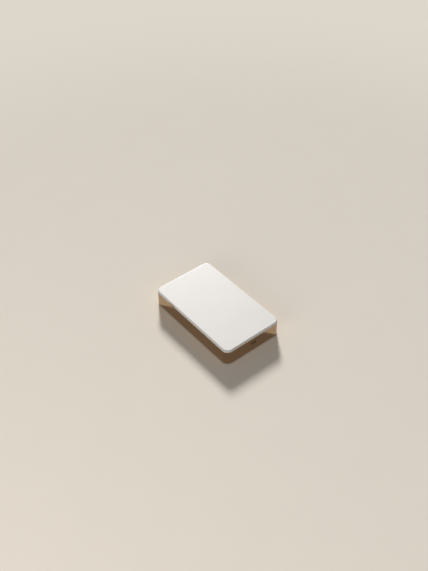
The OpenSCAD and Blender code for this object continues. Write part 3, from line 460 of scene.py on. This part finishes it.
def make_socket_contacts():
    """Two rows of gold-plated contacts on the socket's tongue, and the steel plate inside it."""
    low, high = corners("usb_tongue")
    count, pitch, half_w, sunk, proud, edge = 12, 0.5, 0.14, 0.02, 0.05, 0.02
    from_root, from_tip = 1.2, 0.25
    bm = bmesh.new()
    for k in range(count):
        y = (k - (count - 1) / 2) * pitch
        for face, out in ((high[2], 1), (low[2], -1)):
            z = sorted((face - sunk * out, face + proud * out))
            block(bm, [low[0] + from_root, y - half_w, z[0]],
                  [high[0] - from_tip, y + half_w, z[1]], edge)
    # The plate shows as a thin line along the tongue's end
    middle_z = (low[2] + high[2]) / 2
    plate_l, side_proud, tip_proud, half_t, plate_edge = 0.6, 0.08, 0.04, 0.06, 0.03
    block(bm, [high[0] - plate_l, low[1] - side_proud, middle_z - half_t],
          [high[0] + tip_proud, high[1] + side_proud, middle_z + half_t], plate_edge, 1)
    finish_piece("socket_contacts", bm, [GOLD, SOLDER], "printer")


def make_plate_pads():
    """Cork pads under the pressure plate, over the pick-up tyres and clear of the plate's bores."""
    plate_z = corners("pressure_plate")[0][2]
    low, high = corners("pickup_tyres")
    x0, x1 = low[0] - 2, high[0] - 0.6
    inner_y, outer_y = 12.2, 21.4
    thick, sunk, edge = 0.18, 0.02, 0.08
    bm = bmesh.new()
    for side in (-1, 1):
        y0, y1 = sorted((side * inner_y, side * outer_y))
        block(bm, [x0, y0, plate_z - thick], [x1, y1, plate_z + sunk], edge)
    finish_piece("plate_pads", bm, [CORK], "press_plate")


def make_tapes():
    """Amber tape over the cell's folded end, and the stiffener of the head's flat cable."""
    sunk = 0.01
    low, high = corners("battery")
    tape_x, from_edge, tape_t = (0.4, 5.6), 0.8, 0.07
    bm = bmesh.new()
    block(bm, [tape_x[0], low[1] + from_edge, high[2] - sunk],
          [tape_x[1], high[1] - from_edge, high[2] + tape_t], 0.03)
    finish_piece("battery_tape", bm, [TAPE], "printer")
    cable_rise, stiff_x, stiff_y, stiff_t = 1.65, (-13.4, -10.7), (15.3, 24.7), 0.12
    top = corners("main_board")[1][2] + cable_rise
    bm = bmesh.new()
    block(bm, [stiff_x[0], stiff_y[0], top - sunk], [stiff_x[1], stiff_y[1], top + stiff_t], 0.04)
    finish_piece("cable_stiffener", bm, [STIFFENER], "printer")


def make_springs(node, centres, radius, wire, turns, body):
    """Round-wire coils in place of a node's springs; they ride on a body.

    radius is the coil's, to the middle of its wire, and wire is the wire's own radius. Half a
    turn at each end lies flat.
    """
    low, high = corners(node)
    bottom, top = low[2], high[2]
    around, per_turn, flat_turn = 12, 24, 0.5
    bm = bmesh.new()
    for x, y in centres:
        rings = []
        for k in range(per_turn * (turns + 1) + 1):
            turn = k / per_turn
            rise = min(1, max(0, (turn - flat_turn) / turns))
            height = bottom + wire + rise * (top - bottom - 2 * wire)
            ring = []
            for j in range(around):
                side = 2 * pi * j / around
                out = radius + wire * cos(side)
                ring.append(bm.verts.new([(x + out * cos(2 * pi * turn)) * MM,
                                          (y + out * sin(2 * pi * turn)) * MM,
                                          (height + wire * sin(side)) * MM]))
            rings.append(ring)
        for a, b in zip(rings, rings[1:]):
            for j in range(around):
                n = (j + 1) % around
                bm.faces.new([a[j], b[j], b[n], a[n]])
        bm.faces.new(rings[0])
        bm.faces.new(rings[-1][::-1])
    bmesh.ops.recalc_face_normals(bm, faces=bm.faces)
    piece = finish_piece(node + "_coils", bm, [MATERIALS["spring_steel"]], body)
    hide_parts(node)
    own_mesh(piece)


make_board_details()
make_socket_contacts()
make_plate_pads()
make_tapes()
# The plate travels 3 mm: the last 0.05 mm keeps the closed coils off it at the limit
make_springs("plate_springs", [(-26.4, -18), (-26.4, 18)], radius=3.06, wire=0.25, turns=4,
             body="cover")
make_springs("head_springs", [(-54, -19.5), (-54, 19.5)], radius=1.86, wire=0.2, turns=3,
             body="printer")


# ---- floor, light and camera, in metres ----

BACKDROP = (*srgb(221, 214, 202), 1)


def seen_directly(tree):
    """1 for rays from the camera, also by mirror or glass; 0 for rays that light things."""
    rays = tree.nodes.new("ShaderNodeLightPath")
    seen = rays.outputs["Is Camera Ray"]
    for other in ("Is Glossy Ray", "Is Transmission Ray"):
        seen = combine(tree, "MAXIMUM", seen, rays.outputs[other])
    return seen


def make_floor():
    """Pale floor that fades into the backdrop far from the object."""
    half_size, fade_from, fade_to = 15.0, 0.45, 0.95
    mesh = bpy.data.meshes.new("studio_floor")
    bm = bmesh.new()
    bmesh.ops.create_grid(bm, x_segments=1, y_segments=1, size=half_size)
    bm.to_mesh(mesh)
    bm.free()
    floor = bpy.data.objects.new("studio_floor", mesh)
    bpy.context.scene.collection.objects.link(floor)
    s = Shader("studio_floor", 0.9, Specular_IOR_Level=0.2)
    s.colour(srgb(242, 236, 226), s.noise(60, 3), 0.006)
    away = s.node("ShaderNodeVectorMath")
    away.operation = "LENGTH"
    s.link(s.place, away.inputs[0])
    fade = s.node("ShaderNodeMapRange", From_Min=fade_from, From_Max=fade_to)
    fade.interpolation_type = "SMOOTHSTEP"
    s.link(away.outputs["Value"], fade.inputs["Value"])
    far_and_seen = combine(s.tree, "MULTIPLY", fade.outputs[0], seen_directly(s.tree))
    backdrop = s.node("ShaderNodeEmission", Color=BACKDROP, Strength=1.0)
    mix_surface(s.tree, "Material Output", far_and_seen, s.bsdf, backdrop)
    mesh.materials.append(s.material)


def place_lamp(name, kind, at, **settings):
    """Lamp at a point, aimed at the origin."""
    data = bpy.data.lights.new(name, kind)
    for setting, value in settings.items():
        setattr(data, setting, value)
    lamp = bpy.data.objects.new(name, data)
    bpy.context.scene.collection.objects.link(lamp)
    lamp.location = at
    lamp.rotation_euler = (-at).to_track_quat("-Z", "Y").to_euler()


def make_light():
    """Low soft key from behind, over the end where prints come out, in an even pale room."""
    azimuth, elevation = radians(145.3), radians(26)
    towards = Vector((cos(azimuth) * cos(elevation), sin(azimuth) * cos(elevation),
                      sin(elevation)))
    place_lamp("key", "SUN", towards * 2, energy=3.6, angle=radians(11), color=(1.0, 0.975, 0.94))
    place_lamp("fill", "AREA", Vector((0.35, -1.2, 0.4)), shape="DISK", size=0.9, energy=4.3,
               color=(1.0, 0.93, 0.84))
    world = bpy.data.worlds.new("studio")
    world.use_nodes = True
    tree = world.node_tree
    room = tree.nodes["Background"]
    backdrop = tree.nodes.new("ShaderNodeBackground")
    for background, colour, strength in ((room, (1.0, 0.98, 0.96, 1), 0.19),
                                         (backdrop, BACKDROP, 1.0)):
        background.inputs["Color"].default_value = colour
        background.inputs["Strength"].default_value = strength
    mix_surface(tree, "World Output", seen_directly(tree), room, backdrop)
    bpy.context.scene.world = world


def make_camera():
    """Camera solved from the photograph: focal length in pixels, aim on the table, and distance."""
    image_h = 571
    focal_px = 813.5
    yaw, pitch, roll = radians(-51.24), radians(43.32), radians(-0.59)
    aim = Vector((-49.1 * MM, 35.8 * MM, 0))
    distance = 1.109
    forward = Vector((sin(yaw) * cos(pitch), cos(yaw) * cos(pitch), -sin(pitch)))
    data = bpy.data.cameras.new("camera")
    data.sensor_fit = "VERTICAL"
    data.sensor_height = 24
    data.lens = focal_px * data.sensor_height / image_h
    data.clip_end = 20
    camera = bpy.data.objects.new("camera", data)
    bpy.context.scene.collection.objects.link(camera)
    camera.location = aim - forward * distance
    right = Vector((cos(yaw), -sin(yaw), 0))
    up = right.cross(forward)
    tilted_right = cos(roll) * right + sin(roll) * up
    tilted_up = cos(roll) * up - sin(roll) * right
    camera.rotation_euler = Matrix((tilted_right, tilted_up, -forward)).transposed().to_euler()
    bpy.context.scene.camera = camera


make_floor()
make_light()
make_camera()
bpy.context.scene.view_settings.view_transform = "Standard"
